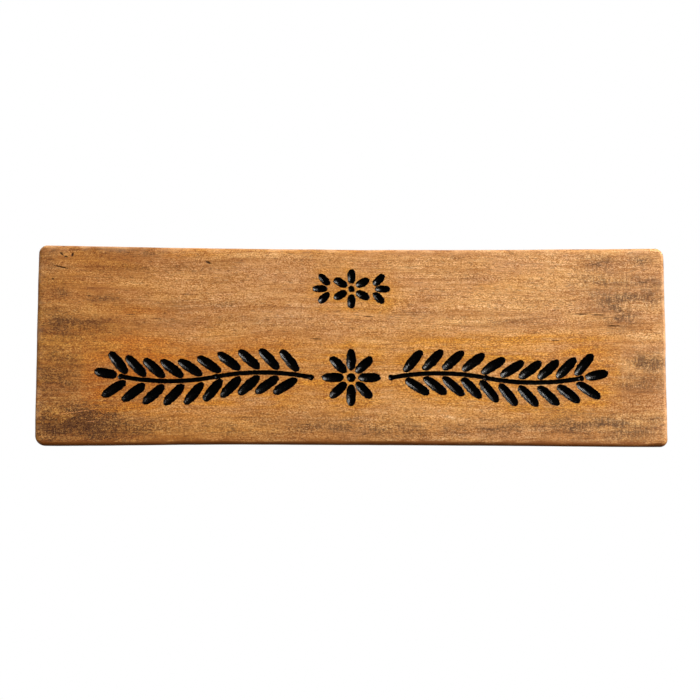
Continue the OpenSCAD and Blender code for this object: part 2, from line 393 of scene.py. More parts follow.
def grid(half_l, half_h, step, seed):
    """Points over a rectangle, each moved a little off its place."""
    n, m = int(2 * half_l / step), int(2 * half_h / step)
    gx, gy = np.meshgrid(np.linspace(-half_l, half_l, n), np.linspace(-half_h, half_h, m))
    gx, gy = gx.ravel(), gy.ravel()
    i = np.arange(len(gx))
    return np.stack([
        gx + 0.3 * step * lattice(i, 0 * i, seed),
        gy + 0.3 * step * lattice(i, 0 * i + 1, seed),
    ], 1)


def rim_loops(marks):
    """The outlines of the cuts, as loops of points on the face."""
    loops = []
    for c in marks:
        if isinstance(c, Groove):
            t = c.angles(GROOVE_STEP)
            sides = (t, c.across_r), (t[::-1], -c.across_r)
            loops.append(np.concatenate([np.stack(c.world(*side), 1) for side in sides]))
        else:
            loops.append(np.stack(c.world(*c.rim()), 1))
    return loops


def floor_points(marks):
    """Points inside the cuts: rows along the grooves and the slits, and rings in the leaves."""
    inner = []
    for c in marks:
        if isinstance(c, Groove):
            t = c.angles(GROOVE_STEP)
            inner += [np.stack(c.world(t, b * c.across_r), 1) for b in (-0.75, -0.35, 0, 0.35, 0.75)]
        elif c.slit:
            t = np.linspace(-0.44, 0.44, max(5, int(c.length / 0.6))) * c.length
            inner += [np.stack(c.world(t, k * 0.55 * c.half_width(t)), 1) for k in (-1, 1)]
        else:
            a, b = c.rim()
            inner += [np.stack(c.world(a * (1 - 0.12 * (1 - k)), b * k), 1) for k in (0.88, 0.62, 0.32)]
            inner.append(np.stack(c.world(a * 0.85, 0 * b), 1)[: len(a) // 2])
    return np.concatenate(inner)


# Edges eased by hand, unevenly: the front one between 1.1 and 3 mm, the back one about 1.5 mm.
outline, normal = perimeter(RIM_STEP)
count = len(outline)
x_at, z_at = outline[:, 0], outline[:, 1]
front_r = 2.0 + 0.7 * noise(x_at / 23 + z_at / 17, z_at / 31, 31) + 0.25 * noise(x_at / 6, z_at / 6, 32)
front_r = np.clip(front_r, 1.1, 3.0)
back_r = 1.5 + 0.3 * noise(x_at / 19, z_at / 19, 33)
FRONT_STEPS, SIDE_STEPS, BACK_STEPS = 6, 9, 5

rows = []  # each row round the board: inset from the outline, and depth behind the front plane
for t in (j / FRONT_STEPS * math.pi / 2 for j in range(FRONT_STEPS + 1)):
    rows.append((front_r * (1 - math.sin(t)), front_r * (1 - math.cos(t))))
for f in (j / SIDE_STEPS for j in range(1, SIDE_STEPS)):
    rows.append((0 * front_r, front_r * (1 - f) + (THICK - back_r) * f))
for t in (j / BACK_STEPS * math.pi / 2 for j in range(BACK_STEPS + 1)):
    rows.append((back_r * (1 - math.cos(t)), THICK - back_r * (1 - math.sin(t))))

verts = []
for k, (inset, depth) in enumerate(rows):
    p = outline - normal * np.asarray(inset)[:, None]
    side = 0.05 * noise(x_at / 9 + depth / 5, z_at / 9 - depth / 4, 34) * (0 < k < len(rows) - 1)
    p = p - normal * (side + 0.05)[:, None]
    verts.append(np.stack([p[:, 0], FRONT + depth + (face_wave(*p.T) if k == 0 else 0), p[:, 1]], 1))
body = np.concatenate(verts)
faces = []
for k in range(len(rows) - 1):
    a, b = k * count, (k + 1) * count
    for i in range(count):
        j = (i + 1) % count
        faces.append((a + i, b + i, b + j, a + j))


def cap(body, row, inner, loops, height, flip):
    """Fills the opening inside a row of the body. Gives the new body, the new faces and the loops' edges."""
    edge = verts[row][:, [0, 2]]
    points, tris, rims = fill(edge, inner, loops)
    tree = point_tree(edge)
    base, remap, extra = len(body), np.zeros(len(points), int), []
    for i, p in enumerate(points):
        _, j, gap = tree.find((p[0], p[1], 0))
        if gap < 1e-3:
            remap[i] = row * count + j
        else:
            remap[i] = base + len(extra)
            extra.append(i)
    at = points[extra]
    body = np.concatenate([body, np.stack([at[:, 0], height(at[:, 0], at[:, 1]), at[:, 1]], 1)])
    faces = []
    for t in tris:
        t = remap[t]
        p, q, r = body[t][:, [0, 2]]
        turn = (q[0] - p[0]) * (r[1] - p[1]) - (q[1] - p[1]) * (r[0] - p[0])
        if len(set(t)) == 3 and abs(turn) > 1e-9:
            faces.append(tuple(t) if (turn > 0) != flip else tuple(t[::-1]))
    return body, faces, [tuple(remap[list(e)]) for e in rims]


def front_height(u, v):
    # The wood is cut a little deeper than the paint's underside, so that it never shows through the paint.
    return FRONT + face_wave(u, v) + cut_depth(u, v, all_marks) + 0.2 * (cut_depth(u, v) > 0.02)


def back_height(u, v):
    return BACK + 0.05 * fbm(u / 40, v / 14, 6)


# The front is filled round the cuts: an uneven grid that keeps clear of the rims, and points inside the cuts.
loops = rim_loops(all_marks)
halfway = [(loop + np.roll(loop, 1, 0)) / 2 for loop in loops]
mark_tree = point_tree(np.concatenate([np.concatenate(pair) for pair in zip(loops, halfway)]))
front_grid = grid(LENGTH / 2 - 3.4, HEIGHT / 2 - 3.4, 0.95, 41)
clear = (gaps(front_grid, mark_tree) > 0.42) & ~(cut_depth(*front_grid.T, all_marks) > 1e-6)
front_points = np.concatenate([front_grid[clear], floor_points(all_marks)])
body, front_faces, sharp = cap(body, 0, front_points, loops, front_height, flip=False)

back_points = grid(LENGTH / 2 - 2.6, HEIGHT / 2 - 2.6, 2.3, 42)
body, back_faces, _ = cap(body, len(rows) - 1, back_points, [], back_height, flip=True)

u, v = body[:, 0], body[:, 2]
bent = np.stack(bend(u + MID_X, body[:, 1], v + MID_Z), 1)
board = new_mesh("board_wood", bent, faces + front_faces + back_faces, sharp)


# ---------------------------------------------------------------- where the stain, the dirt, the wear and the painted light and shade lie

def blobs(spots):
    """Sum of soft spots, each (u, v, reach along, reach up, strength), over the board's points."""
    total = np.zeros(len(body))
    for pu, pv, ru, rv, s in spots:
        total += s * np.exp(-(((u - pu) / ru) ** 2 + ((v - pv) / rv) ** 2))
    return total


on_front = body[:, 1] < FRONT + 2.5
cut_gap = gaps(body[:, [0, 2]], point_tree(np.concatenate(rim_loops(cuts))))
edge_gap = np.minimum(LENGTH / 2 - np.abs(u), HEIGHT / 2 - np.abs(v))

# Dark wax: round the left end and its lower corner, the upper right corner and the right end; darker also
# along the lower edge.
patina = blobs([
    (-129, -33, 9, 5, 1.2), (-118, -34, 15, 7, 0.8), (-144, -34, 5, 4, 1.0), (-135, -41.5, 24, 4, 0.8),
    (-129, -38.5, 22, 6, 1.2), (-140, -18, 12, 7, 0.85), (-136, -9, 13, 7, 0.55), (-150, -5, 12, 50, 0.45),
    (-141, 10, 9, 6, 0.9), (-127, 9, 15, 5, 0.8), (-138, 24.5, 4, 2, 1.0), (-118, 22, 7, 1.6, 0.9),
    (-143, 41, 4, 7, 0.6), (-113, 45, 14, 1.7, 0.9), (-94, 45, 9, 1.6, 0.8), (-108, 37, 16, 1.8, 0.5),
    (-90, 11, 15, 1.5, 0.6), (-84, 20, 8, 3, 0.5), (-61, 20, 10, 1.6, 0.6), (-70, 38, 16, 3, 0.3),
    (-98, -40, 22, 6, 0.55), (0, -42, 190, 6, 0.3), (78, -38, 18, 3, 0.5), (-40, -37, 30, 5, 0.35),
    (24, -40, 44, 4, 0.4), (60, -38.5, 7, 2.5, 0.5), (121, -37.5, 31, 5, 0.95), (95, -32, 34, 5, 0.3),
    (117, 32.5, 9, 4, 1.0), (118, 41, 9, 3, 0.8), (137, 41.5, 6, 3, 1.2), (140, 31.5, 9, 2.2, 1.3),
    (133, 24, 16, 4.5, 1.3), (125, 16, 6, 6, 0.9), (131, 12, 6, 4, 0.7), (141, -7.5, 9, 5, 1.2),
    (137, -17, 11, 6, 0.9), (100, 22, 30, 10, 0.2), (2, -37, 26, 7, 0.4), (28, 15, 14, 3, 0.35),
    (62, 34, 14, 2, 0.3), (75, 12, 26, 2, 0.3), (-40, 12, 22, 3, 0.3),
])
# Wiped thin and greyish.
wiped = blobs([
    (-36, 15, 18, 8, 0.9), (-72, 18, 24, 6, 0.7), (-78, 4, 22, 6, 0.5), (60, 25, 50, 14, 0.5),
    (95, 40, 40, 7, 0.5), (-45, 32, 30, 9, 0.4), (-135, -22, 12, 6, 0.4), (120, -20, 30, 8, 0.4),
    (140, 44, 12, 4, 0.7), (142, 10, 9, 16, 0.6),
])
# Stain gone in deeper towards the left end; darker also along the lower edge.
deep = blobs([
    (-152, -8, 42, 48, 1.0), (-104, -6, 36, 26, 0.6), (-92, -43, 70, 9, 0.7), (-110, 45, 40, 6, 0.4),
    (-98, 16, 18, 3, 0.5), (-108, 37.5, 15, 2, 0.4), (-46, 3, 34, 8, 0.4), (30, -45, 150, 6, 0.3),
    (-20, -15, 90, 16, 0.2), (-75, 30, 60, 20, 0.25), (-130, 36, 34, 14, 0.35),
    (-62, -14, 44, 14, 0.35), (106, -12, 18, 14, 0.45),
])
# Bright honey stain beside the cuts and in a few runs along the grain.
band = np.exp(-((v + 15) / 21) ** 4) * (np.abs(u) < 128)
glow = 0.95 * np.exp(-cut_gap / 3.4) + 0.75 * band * np.exp(-cut_gap / 13) + blobs([
    (-76, 44.5, 15, 2.4, 1.2), (-30, 46, 40, 2, 0.6), (-95, -30, 26, 4, 0.6), (-50, -37, 20, 6, 0.4),
    (84, 4, 40, 2.6, 0.85), (40, 2, 40, 3, 0.3), (106, -12, 18, 14, 0.5), (-100, 2, 18, 4, 0.6),
    (-98, 16, 16, 2, 0.5), (8, 20, 26, 5, 0.5), (76, 30, 16, 3, 0.5), (30, -38, 40, 4, 0.3),
])
attribute(board, "patina", np.clip(patina * on_front + 0.35 * (~on_front), 0, 2.2))
attribute(board, "wiped", np.clip(wiped, 0, 1) * on_front)
attribute(board, "deep", np.clip(deep * on_front + 0.4 * (~on_front), 0, 1))
attribute(board, "glow", np.clip(glow, 0, 1) * on_front)

# Rubbed edges, lighter partly from wear and partly as painted highlight: strongest on the rounding round the
# front, and hardly at all under its lower edge, which gets less light.
front_arris = np.exp(-np.maximum(0, body[:, 1] - FRONT - 1.2) / 1.3)
back_arris = 0.8 * np.exp(-np.maximum(0, BACK - body[:, 1] - 0.8) / 1.0)
less_highlight_below = np.where(on_front, np.clip((v + HEIGHT / 2 - 3) / 3, 0.1, 1), 1)
edge_wear_and_highlight = np.exp(-np.maximum(0, edge_gap - 0.4) / 1.3) * np.maximum(front_arris, back_arris) * less_highlight_below
attribute(board, "edge", edge_wear_and_highlight)

# Painted shade: darker in the rounding under the front face, and a little down its left end, where these
# roundings turn from the light.
painted_shade_low_rim = np.clip((2.2 + 0.5 * noise(u / 5, 0 * u, 36) - HEIGHT / 2 - v) / 0.5, 0, 1)
painted_shade_left_rim = 0.75 * np.clip((0.85 + 0.3 * noise(v / 5, 0 * v, 37) - LENGTH / 2 - u) / 0.5, 0, 1)
attribute(board, "under", np.maximum(painted_shade_low_rim, painted_shade_left_rim) * np.exp(-np.maximum(0, body[:, 1] - FRONT - 1) / 4))
attribute(board, "bare", np.clip(cut_depth(u, v, scratches) / 0.06, 0, 1) * on_front)
attribute(board, "hurt", np.clip(cut_depth(u, v, damage) / 0.25, 0, 1) * (body[:, 1] < FRONT + 1.5))


# ---------------------------------------------------------------- enamel in the cuts

SHOULDER = 0.03  # how far inside the rim the paint turns down into the cut
OVERLAP = 0.03  # the least that the paint runs out over the wood


def groove_patch(c):
    """Enamel in a groove, in rows across it."""
    # The two arcs of a stem stop just short of each other, under the dot's paint.
    t = c.angles(0.55, short=0.05)
    tt, reach = np.meshgrid(t, [-1.1, -1, -0.85, -0.6, -0.3, 0, 0.3, 0.6, 0.85, 1, 1.1], indexing="ij")
    side, reach = np.sign(reach), np.abs(reach)
    u0, v0 = c.world(tt, 0 * tt)
    rag = 0.1 + 0.12 * noise(u0 / 0.9, v0 / 0.9 + 9 * side, 51) + 0.07 * noise(u0 / 0.4, side * 3, 52)
    beyond = np.where(reach > 1, np.maximum(rag, OVERLAP), -SHOULDER * (reach == 1))
    return *c.world(tt, side * (c.across_r * np.minimum(reach, 1) + beyond)), reach, False


def leaf_patch(c):
    """Enamel in a leaf or a dot, in rows from its middle line outwards."""
    # The points of the wood's own rim, and those halfway between them.
    a, b = (np.stack([p, (p + np.roll(p, -1)) / 2], 1).ravel() for p in c.rim())
    t = np.arange(len(a)) * 2 * math.pi / len(a)
    na, nb = np.cos(t) / (c.length / 2), np.sin(t) / (c.width / 2)
    size = np.hypot(na, nb)
    na, nb = na / size, nb / size
    wu, wv = c.world(a, b)
    along_grain = np.abs(na * c.cos - nb * c.sin)
    rag = 0.1 + (0.1 + 0.2 * along_grain) * noise(wu / 0.8, wv / 0.8, 53)
    rag += (0.08 + 0.24 * along_grain) * noise(wu / 0.35, wv / 0.35, 54)
    rag = np.maximum(rag, OVERLAP)
    rings = 7 if c.width > 3 else 5
    spine = a * (0.0 if isinstance(c, Dot) else 0.86)
    # Each ring of points: its reach, where it starts from, and how far it stands out from the rim.
    patch = [((k / rings) ** 0.85, spine, 0) for k in range(rings)] + [(1, a, -SHOULDER), (1.1, a, rag)]
    pu, pv, reach = [], [], []
    for f, start, out in patch:
        inner = min(f, 1)
        wu, wv = c.world(start + (a - start) * inner + na * out, b * inner + nb * out)
        pu.append(wu)
        pv.append(wv)
        reach.append(f + 0 * wu)
    return np.array(pu).T, np.array(pv).T, np.array(reach).T, True


def enamel_patch(c):
    """Points of the enamel over one cut, rows by columns, their reach, and whether the rows close in a ring.

    The reach is 0 in the cut's middle, 1 just inside its rim and more beyond it.
    """
    return groove_patch(c) if isinstance(c, Groove) else leaf_patch(c)


def chatter(c, u, v):
    """Ripple of the gouge under the paint, in millimetres."""
    along, across = (u, v) if isinstance(c, Groove) else c.local(u, v)
    key = int(abs(c.u * 7 + c.v * 13))
    return (
        0.045 * noise(along / 0.75 + key, across / 1.6, 61)
        + 0.03 * noise(along / 0.42, across / 0.5 + key, 62)
        + 0.03 * noise(along / 2.2, across / 1.2 + key, 63)
    )


def shell_faces(base, n, m, closed):
    """Faces of a thin shell: a grid of n rows by m columns, the same again under it, and their edges."""
    under = n * m
    faces = []
    for i in range(n if closed else n - 1):
        here, there = base + i * m, base + (i + 1) % n * m
        for k in range(m - 1):
            quad = (here + k, there + k, there + k + 1, here + k + 1)
            faces += [quad, tuple(p + under for p in reversed(quad))]
        last, next_last = here + m - 1, there + m - 1
        faces.append((last, next_last, next_last + under, last + under))
        if not closed:
            faces.append((there, here, here + under, there + under))
    if not closed:
        far = base + (n - 1) * m
        for k in range(m - 1):
            a, b = base + k, base + k + 1
            faces.append((a, b, b + under, a + under))
            a, b = far + k, far + k + 1
            faces.append((b, a, a + under, b + under))
    return faces


def enamel(name, motif):
    """The paint of one motif: a closed shell in each of its cuts."""
    points, faces = [], []
    base = 0
    for index, c in enumerate(motif):
        pu, pv, reach, closed = enamel_patch(c)
        # From the shoulder outwards the paint follows the wood beside this cut, or another cut.
        others = [other for other in cuts if other is not c]
        sunk = np.where(reach < 1, cut_depth(pu, pv), cut_depth(pu, pv, others))
        wood = FRONT + face_wave(pu, pv) + sunk
        film = 0.035 + 0.15 * (1 - np.minimum(reach, 1) ** 3) + 0.01 * (index % 3)
        depth = np.clip(sunk / 0.5, 0, 1)
        top = wood - film + chatter(c, pu, pv) * depth
        top = np.minimum(top, wood - 0.02)
        low = wood + 0.08 + 0.15 * (depth > 0.05)
        for y in (top, low):
            points.append(np.stack([pu + MID_X, y, pv + MID_Z], -1).reshape(-1, 3))
        faces += shell_faces(base, *pu.shape, closed)
        base += 2 * pu.size
    points = np.concatenate(points)
    return weld(new_mesh(name, np.stack(bend(*points.T), 1), faces))


paint = {name: enamel(name.replace("_enamel", "_paint"), motif) for name, motif in motifs.items()}


# ---------------------------------------------------------------- rubber bumpers

def bumper(name, node):
    """A moulded rubber disc with a soft rim and a faintly dished face."""
    lo, hi = (np.array(corner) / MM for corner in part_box(node))
    middle, r, height = (lo + hi) / 2, (hi[0] - lo[0]) / 2, hi[1] - lo[1]
    rim_r, dish, sides = 0.9, 0.12, 64
    # The outline of half a disc, from the middle of its face to the middle of its glued side.
    profile = [(0.0, height - dish), (0.3 * r, height - 0.1), (0.6 * r, height - 0.03), (0.76 * r, height)]
    for a in np.linspace(0, math.pi / 2, 8):
        profile.append((r - rim_r + rim_r * math.sin(a), height - rim_r + rim_r * math.cos(a)))
    profile += [(r, height * 0.4), (r - 0.03, 0.12), (r - 0.2, 0.0), (0.5 * r, 0.0), (0.0, 0.0)]
    m = len(profile)
    points, faces = [], []
    for i in range(sides):
        a = i / sides * 2 * math.pi
        for k, (out, up) in enumerate(profile):
            lump = 0.03 * noise(math.cos(a) * 3 + k, math.sin(a) * 3, 71)
            out += lump * (out > 0)
            points.append((middle[0] + out * math.cos(a), lo[1] + up, middle[2] + out * math.sin(a)))
        here, there = i * m, (i + 1) % sides * m
        faces += [(here + k, here + k + 1, there + k + 1, there + k) for k in range(m - 1)]
    return weld(new_mesh(name, points, faces))


bumpers = {n: bumper(n + "_rubber", n) for n in ("left_bumper", "right_bumper")}


# ---------------------------------------------------------------- materials

class Mat:
    """A small builder for a principled material. Colours are given as sRGB, 0 to 255."""

    def __init__(self, name):
        self.material = bpy.data.materials.new(name)
        self.material.use_nodes = True
        self.tree = self.material.node_tree
        self.tree.nodes.clear()
        self.shader = self.tree.nodes.new("ShaderNodeBsdfPrincipled")
        out = self.tree.nodes.new("ShaderNodeOutputMaterial")
        self.tree.links.new(self.shader.outputs[0], out.inputs[0])
        # The place in the object, in millimetres.
        at = self.tree.nodes.new("ShaderNodeTexCoord").outputs["Object"]
        self.mm = self.vec("SCALE", at, scale=1000.0)
        split = self.tree.nodes.new("ShaderNodeSeparateXYZ")
        self.put(self.mm, split.inputs[0])
        self.x = split.outputs[0]

    def put(self, value, socket):
        if hasattr(value, "links"):
            self.tree.links.new(value, socket)
        else:
            socket.default_value = value

    def vec(self, op, a, b=None, scale=None):
        n = self.tree.nodes.new("ShaderNodeVectorMath")
        n.operation = op
        self.put(a, n.inputs[0])
        if b is not None:
            self.put(b, n.inputs[1])
        if scale is not None:
            self.put(scale, n.inputs["Scale"])
        return n.outputs["Value" if op == "LENGTH" else "Vector"]

    def math(self, op, a, b=0.0, c=0.0, clamp=False):
        n = self.tree.nodes.new("ShaderNodeMath")
        n.operation, n.use_clamp = op, clamp
        for value, socket in zip((a, b, c), n.inputs):
            self.put(value, socket)
        return n.outputs[0]

    def step(self, value, lo, hi, a=0.0, b=1.0):
        """A smooth step from a, where value is lo or less, to b, where it is hi or more."""
        n = self.tree.nodes.new("ShaderNodeMapRange")
        n.interpolation_type = "SMOOTHSTEP"
        for v, k in ((value, 0), (lo, 1), (hi, 2), (a, 3), (b, 4)):
            self.put(v, n.inputs[k])
        return n.outputs[0]

    def noise(self, size, detail, rough, seed, at=None):
        """Noise whose features are size millimetres across along x, y and z."""
        at = self.mm if at is None else at
        scaled = self.vec("MULTIPLY", at, tuple(1 / x for x in size))
        n = self.tree.nodes.new("ShaderNodeTexNoise")
        self.put(self.vec("ADD", scaled, (seed * 7.3, seed * 3.1, seed * 5.7)), n.inputs["Vector"])
        n.inputs["Scale"].default_value = 1.0
        n.inputs["Detail"].default_value = detail
        n.inputs["Roughness"].default_value = rough
        return n.outputs[0]

    def attr(self, name):
        n = self.tree.nodes.new("ShaderNodeAttribute")
        n.attribute_name = name
        return n.outputs["Fac"]

    def mix(self, factor, a, b, blend="MIX"):
        n = self.tree.nodes.new("ShaderNodeMix")
        n.data_type, n.blend_type, n.clamp_factor = "RGBA", blend, True
        self.put(factor, n.inputs[0])
        self.put(colour(a) if isinstance(a, tuple) else a, n.inputs[6])
        self.put(colour(b) if isinstance(b, tuple) else b, n.inputs[7])
        return n.outputs[2]

    def stain(self, value):
        """Tint of a stain film that lets value of the green through, more of the red and less of the blue."""
        n = self.tree.nodes.new("ShaderNodeCombineColor")
        for k, power in enumerate((0.62, 1.0, 1.65)):
            self.put(self.math("POWER", value, power), n.inputs[k])
        return n.outputs[0]

    def bump(self, height, distance, strength, under=None):
        """Bump whose height of one is distance millimetres."""
        n = self.tree.nodes.new("ShaderNodeBump")
        n.inputs["Strength"].default_value = strength
        n.inputs["Distance"].default_value = distance * MM
        self.put(height, n.inputs["Height"])
        if under is not None:
            self.put(under, n.inputs["Normal"])
        return n.outputs[0]

    def set(self, **values):
        for key, value in values.items():
            socket = self.shader.inputs[key.replace("_", " ")]
            self.put(colour(value) if isinstance(value, tuple) and key == "Base_Color" else value, socket)
        return self.material


def colour(rgb):
    """A linear colour with an alpha of one, from sRGB."""
    parts = (c / 255 for c in rgb)
    return (*(p / 12.92 if p <= 0.04045 else ((p + 0.055) / 1.055) ** 2.4 for p in parts), 1.0)


def stained_wood():
    """Honey-brown stain over a fine grain, with dark wax, wear and dirt, painted highlight on the rubbed
    edges and painted shade under the front, where the board's attributes say.
    """
    m = Mat("stained_wood")
    # The grain wanders a little as it runs along the board.
    sway = m.noise((75, 45, 30), 2, 0.5, 1)
    lift = m.math("MULTIPLY", m.math("SUBTRACT", sway, 0.5), 9.0)
    wander = m.tree.nodes.new("ShaderNodeCombineXYZ")
    m.put(lift, wander.inputs[2])
    grain = m.vec("ADD", m.mm, wander.outputs[0])

    broad = m.noise((85, 22, 9), 3, 0.55, 2, at=grain)
    streak = m.noise((17, 3.2, 2.1), 4, 0.62, 3, at=grain)
    fibre = m.noise((4.5, 0.8, 0.7), 3, 0.65, 4, at=grain)
    speck = m.noise((0.85, 0.5, 0.46), 2, 0.75, 5, at=grain)
    pores = m.noise((2.6, 0.8, 0.62), 2, 0.6, 6, at=grain)
    grime = m.noise((1.25, 0.9, 0.95), 2, 0.7, 14)
    cloud = m.noise((16, 8, 5), 4, 0.65, 7)
    blotch = m.noise((26, 14, 11), 3, 0.6, 8)

    # Growth rings round a heart low down behind the board: faint bands on its faces, and arcs on its ends.
    heart = m.vec("MULTIPLY", m.vec("SUBTRACT", grain, (0.0, 46.0, -71.0)), (0.0, 1.0, 1.0))
    ring_gap, ring_sway = 3.4, 4.0
    ring = m.math("MULTIPLY", m.noise((60, 20, 20), 2, 0.4, 9), ring_sway)
    ring = m.math("ADD", m.vec("LENGTH", heart), ring)
    ring = m.math("FRACT", m.math("DIVIDE", ring, ring_gap))
    ring = m.math("MULTIPLY", m.step(ring, 0.1, 0.9), m.step(ring, 0.92, 1.0, 1.0, 0.0))

    patina, wiped, deep, glow = (m.attr(n) for n in ("patina", "wiped", "deep", "glow"))
    edge, under, bare, hurt = (m.attr(n) for n in ("edge", "under", "bare", "hurt"))

    base = m.mix(m.step(broad, 0.3, 0.7), (188, 127, 66), (223, 166, 99))
    base = m.mix(m.step(blotch, 0.42, 0.72), base, (205, 146, 90))
    base = m.mix(m.math("MULTIPLY", ring, 0.22), base, (160, 98, 46))
    base = m.mix(m.step(streak, 0.5, 0.78, 0.0, 0.55), base, (152, 88, 36))
    base = m.mix(m.step(streak, 0.5, 0.24, 0.0, 0.5), base, (233, 182, 122))
    drink = m.step(m.noise((40, 12, 7), 3, 0.6, 15, at=grain), 0.3, 0.7, 0.7, 1.15)
    soak = m.math("MULTIPLY", deep, drink, clamp=True)
    base = m.mix(soak, base, m.mix(1.0, base, (226, 204, 142), "MULTIPLY"))

    # Honey stain that has run brighter beside the cuts.
    runs = m.step(m.noise((20, 6, 2.6), 4, 0.65, 10, at=grain), 0.34, 0.62, 0.2, 1.0)
    ooze = m.math("MULTIPLY", glow, runs)
    base = m.mix(m.math("MULTIPLY", ooze, 0.86), base, m.mix(deep, (207, 136, 34), (190, 105, 12)))
    # Greyish places where the stain was wiped thin.
    pale = m.math("MULTIPLY", wiped, m.step(m.noise((16, 6, 5), 4, 0.7, 11), 0.42, 0.66))
    base = m.mix(m.math("MULTIPLY", pale, 0.5), base, (208, 157, 107))

    # Dark wax rubbed into the grain, thickest near the ends.
    wax = m.math("MULTIPLY", patina, m.step(cloud, 0.32, 0.66, 0.15, 1.0))
    wax = m.math("ADD", wax, m.step(blotch, 0.56, 0.8, 0.0, 0.22))
    caught = m.math("MULTIPLY", m.step(fibre, 0.25, 0.62, 0.35, 1.0), m.step(speck, 0.42, 0.6, 1.2, 0.45))
    cover = m.math("MULTIPLY", wax, caught, clamp=True)
    base = m.mix(m.math("MULTIPLY", cover, 0.74), base, m.mix(deep, (97, 67, 40), (88, 52, 21)))

    # Where it was rubbed on most it has also left a thin film.
    base = m.mix(m.step(patina, 0.9, 2.2, 0.0, 0.25), base, (88, 56, 28))

    # Fine fibre streaks, specks and open pores, darker where the wax is.
    fine = m.step(fibre, 0.3, 0.7, 0.87, 1.13)
    rich = m.step(m.noise((32, 7, 3.2), 3, 0.6, 18, at=grain), 0.36, 0.62, 0.5, 1.0)
    rich = m.math("MAXIMUM", rich, glow, clamp=True)
    dark_specks = m.step(speck, 0.34, 0.55, -0.54, 0.1)
    fine = m.math("MULTIPLY", fine, m.math("MULTIPLY_ADD", dark_specks, rich, 1.0))
    fine = m.math("MULTIPLY", fine, m.step(speck, 0.6, 0.7, 1.0, 1.25))
    tooth = m.step(m.noise((0.72, 0.44, 0.42), 1, 0.5, 19), 0.38, 0.58, -0.39, 0.31)
    fine = m.math("MULTIPLY", fine, m.math("MULTIPLY_ADD", tooth, rich, 1.0))
    lines = m.noise((24, 0.62, 0.52), 3, 0.6, 16, at=grain)
    fine = m.math("MULTIPLY", fine, m.step(lines, 0.32, 0.68, 1.17, 0.85))
    base = m.mix(1.0, base, m.stain(fine), "MULTIPLY")

    # Wax caught in grime and, near the right end, in fine cross scratches.
    across = m.math("MULTIPLY", m.noise((0.75, 0.8, 4.0), 2, 0.6, 17), m.step(m.x, 90, 125, 0.9, 1.06))
    dirt = m.step(m.math("MAXIMUM", grime, across), 0.5, 0.62)
    dirt = m.math("MULTIPLY", dirt, m.math("MULTIPLY_ADD", wax, 1.1, 0.1), clamp=True)
    threads = m.math("MULTIPLY", m.step(lines, 0.58, 0.67), m.step(streak, 0.4, 0.62, 0.35, 0.9))
    flecks = m.math("MAXIMUM", m.step(pores, 0.56, 0.66), threads)
    flecks = m.math("MULTIPLY", flecks, m.math("MULTIPLY_ADD", wax, 0.45, 0.42), clamp=True)
    flecks = m.math("MAXIMUM", flecks, m.math("MULTIPLY", dirt, 0.75))
    base = m.mix(flecks, base, m.mix(deep, (86, 54, 30), (74, 38, 14)))

    # End grain drinks more stain; rubbed edges lose it, and carry some painted highlight as well.
    facing = m.tree.nodes.new("ShaderNodeNewGeometry").outputs["True Normal"]
    parts = m.tree.nodes.new("ShaderNodeSeparateXYZ")
    m.put(facing, parts.inputs[0])
    end = m.step(m.math("ABSOLUTE", parts.outputs[0]), 0.55, 0.9)
    dots = m.noise((2.0, 0.35, 0.35), 2, 0.6, 12)
    base = m.mix(m.math("MULTIPLY", end, m.step(dots, 0.35, 0.7, 0.35, 0.8)), base, (118, 70, 33))
    base = m.mix(m.math("MULTIPLY", m.math("MULTIPLY", end, ring), 0.5), base, (84, 48, 22))
    # Lighter rubbed edges: partly worn stain, partly painted highlight.
    edge_wear_and_highlight_mix = m.math("MULTIPLY", edge, m.step(m.noise((9, 5, 5), 3, 0.6, 13), 0.38, 0.62))
    base = m.mix(m.math("MULTIPLY", edge_wear_and_highlight_mix, 0.55), base, (230, 180, 130))
    # Painted shade in the rounding under the front face and down its left end.
    base = m.mix(m.math("MULTIPLY", under, m.step(cloud, 0.3, 0.55, 0.7, 0.95)), base, (124, 66, 14))
    base = m.mix(m.math("MULTIPLY", bare, 0.7), base, (216, 146, 84))
    base = m.mix(m.math("MULTIPLY", hurt, 0.85), base, (52, 29, 15))

    rough = m.step(fibre, 0.2, 0.8, 0.5, 0.68)
    rough = m.math("SUBTRACT", rough, m.math("MULTIPLY", ooze, 0.08))
    relief = m.math("ADD", m.math("MULTIPLY", fibre, 0.6), m.math("MULTIPLY", streak, 0.5))
    relief = m.math("SUBTRACT", relief, m.math("MULTIPLY", flecks, 0.8))
    relief = m.math("ADD", relief, m.math("MULTIPLY", speck, 0.25))
    return m.set(
        Base_Color=base, Roughness=rough, Specular_IOR_Level=0.35, Normal=m.bump(relief, 0.07, 0.7),
    )


def black_enamel():
    m = Mat("black_enamel")
    tone = m.noise((3.5, 3.5, 3.5), 3, 0.6, 21)
    dust = m.noise((0.5, 0.5, 0.5), 2, 0.6, 22)
    base = m.mix(m.step(tone, 0.3, 0.7), (1, 1, 1), (4, 3, 3))
    base = m.mix(m.step(dust, 0.68, 0.8, 0.0, 0.25), base, (44, 34, 26))
    rough = m.math("ADD", m.step(tone, 0.3, 0.7, 0.18, 0.28), m.step(dust, 0.55, 0.8, 0.0, 0.2))
    brush = m.noise((1.2, 0.8, 0.6), 3, 0.7, 23)
    grit = m.noise((0.4, 0.4, 0.4), 1, 0.5, 24)
    normal = m.bump(brush, 0.2, 0.9)
    return m.set(
        Base_Color=base, Roughness=rough, Specular_IOR_Level=0.33,
        Normal=m.bump(grit, 0.03, 0.8, under=normal),
    )


